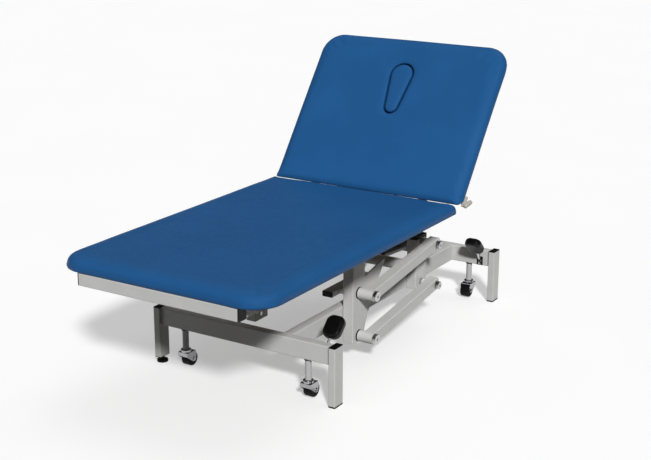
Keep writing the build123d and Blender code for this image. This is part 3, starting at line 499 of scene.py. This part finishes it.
box_sel = (np.abs(c[:, 0]) < 0.075) & (c[:, 1] > 0.28) & (c[:, 1] < 0.54)
idx = np.nonzero(box_sel)[0]
near[idx] = np.sqrt(((c[idx, None, :2] - p[None]) ** 2).sum(2)).min(1)
pin = (((c[:, 2] < -BT + 0.0135) & (np.abs(c[:, 0]) < HALF_W - 0.006) & (c[:, 1] > 0.016) & (c[:, 1] < BL - 0.006)) | (near < 0.009)).astype(float)
inflate(back, pin, 0.0030)
relax(back, 5, hold=(near < 0.006).astype(float) * 0.6)
smooth_faces(back)
TO_BACK = Matrix.Translation(BACK_ORIGIN) @ Matrix.Rotation(math.radians(53.24), 4, "X")
back.data.transform(TO_BACK)
back.data.materials.append(VINYL)
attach(back, "back_section")
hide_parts("back_cushion")

# breather plug: crowned top, slightly pulled-in sides
rings = []
for off, z in ((-0.0060, -BT - 0.0), (-0.0024, -BT + 0.0006), (-0.0014, -BT + 0.0035), (-0.0016, -0.030), (-0.0018, -0.0200), (-0.0026, -0.0140),
               (-0.0034, -0.0090), (-0.0046, -0.0052), (-0.0064, -0.0024), (-0.0090, -0.0004), (-0.0130, 0.0009), (-0.0190, 0.0017), (-0.0260, 0.0021)):
    rings.append([(x, y, z) for x, y in plug_line(off)])
plug = loft("breather_plug_soft", rings)
apply_mod(plug, "REMESH", mode="VOXEL", voxel_size=0.0022)
relax(plug, 6)
smooth_faces(plug)
plug.data.transform(TO_BACK)
plug.data.materials.append(VINYL)
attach(plug, "breather_plug")
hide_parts("breather_plug")

# ------------------------------------------------------------------ stage and light
bm = bmesh.new()
bmesh.ops.create_grid(bm, x_segments=8, y_segments=8, size=30.0)
me = bpy.data.meshes.new("floor")
bm.to_mesh(me)
bm.free()
floor = bpy.data.objects.new("floor", me)
floor.location = (0, 0, -0.0004)
scene.collection.objects.link(floor)
kf = Mat("floor_mat")
kf.color(kf.ramp(kf.noise(1.3, 2.0), 0.3, 0.7, (0.672, 0.672, 0.672), (0.688, 0.688, 0.688))).set(rough=0.9, spec=0.0)
kf.b.inputs["Emission Color"].default_value = (1, 1, 1, 1)
kf.b.inputs["Emission Strength"].default_value = 0.402
floor.data.materials.append(kf.m)
floor.visible_diffuse = False


def sun(name, az, el, strength, angle, color=(1, 1, 1)):
    ld = bpy.data.lights.new(name, "SUN")
    ld.energy, ld.angle, ld.color = strength, math.radians(angle), color
    o = bpy.data.objects.new(name, ld)
    a, e = math.radians(az), math.radians(el)
    src = Vector((math.sin(a) * math.cos(e), -math.cos(a) * math.cos(e), math.sin(e)))
    o.rotation_mode = "QUATERNION"
    o.rotation_quaternion = src.to_track_quat("Z", "Y")
    o.location = src * 6
    scene.collection.objects.link(o)
    return o


sun("key", 41.0, 34.0, 2.75, 6.0).visible_glossy = False
sun("key_sheen", 41.0, 34.0, 0.55, 9.0)
sun("top_soft", 160.0, 72.0, 0.42, 38.0).visible_glossy = False
for nm, az, el, st in (("fill_back", 222.0, 20.0, 0.42), ("fill_far", 300.0, 14.0, 0.22)):
    fl = sun(nm, az, el, st, 20.0)
    fl.visible_glossy = False
    fl.data.specular_factor = 0.0
    lit = bpy.data.collections.new(nm + "_lit")
    for ob in list(scene.objects):
        if ob.type == "MESH" and ob is not floor:
            lit.objects.link(ob)
    fl.light_linking.receiver_collection = lit

world = bpy.data.worlds.new("studio")
scene.world = world
world.use_nodes = True
wt = world.node_tree
bg = wt.nodes["Background"]
tc = wt.nodes.new("ShaderNodeTexCoord")
sep = wt.nodes.new("ShaderNodeSeparateXYZ")
wt.links.new(tc.outputs["Generated"], sep.inputs[0])
rp = wt.nodes.new("ShaderNodeValToRGB")
rp.color_ramp.elements[0].position, rp.color_ramp.elements[0].color = 0.05, (0.12, 0.12, 0.13, 1)
rp.color_ramp.elements[1].position, rp.color_ramp.elements[1].color = 0.85, (1.0, 1.0, 1.0, 1)
wt.links.new(sep.outputs[2], rp.inputs["Fac"])
wt.links.new(rp.outputs["Color"], bg.inputs["Color"])
bg.inputs["Strength"].default_value = 0.15
bg_seen = wt.nodes.new("ShaderNodeBackground")
bg_seen.inputs["Color"].default_value = (0.955, 0.955, 0.955, 1)
lp = wt.nodes.new("ShaderNodeLightPath")
wmix = wt.nodes.new("ShaderNodeMixShader")
wt.links.new(lp.outputs["Is Camera Ray"], wmix.inputs[0])
wt.links.new(bg.outputs[0], wmix.inputs[1])
wt.links.new(bg_seen.outputs[0], wmix.inputs[2])
wt.links.new(wmix.outputs[0], wt.nodes["World Output"].inputs["Surface"])
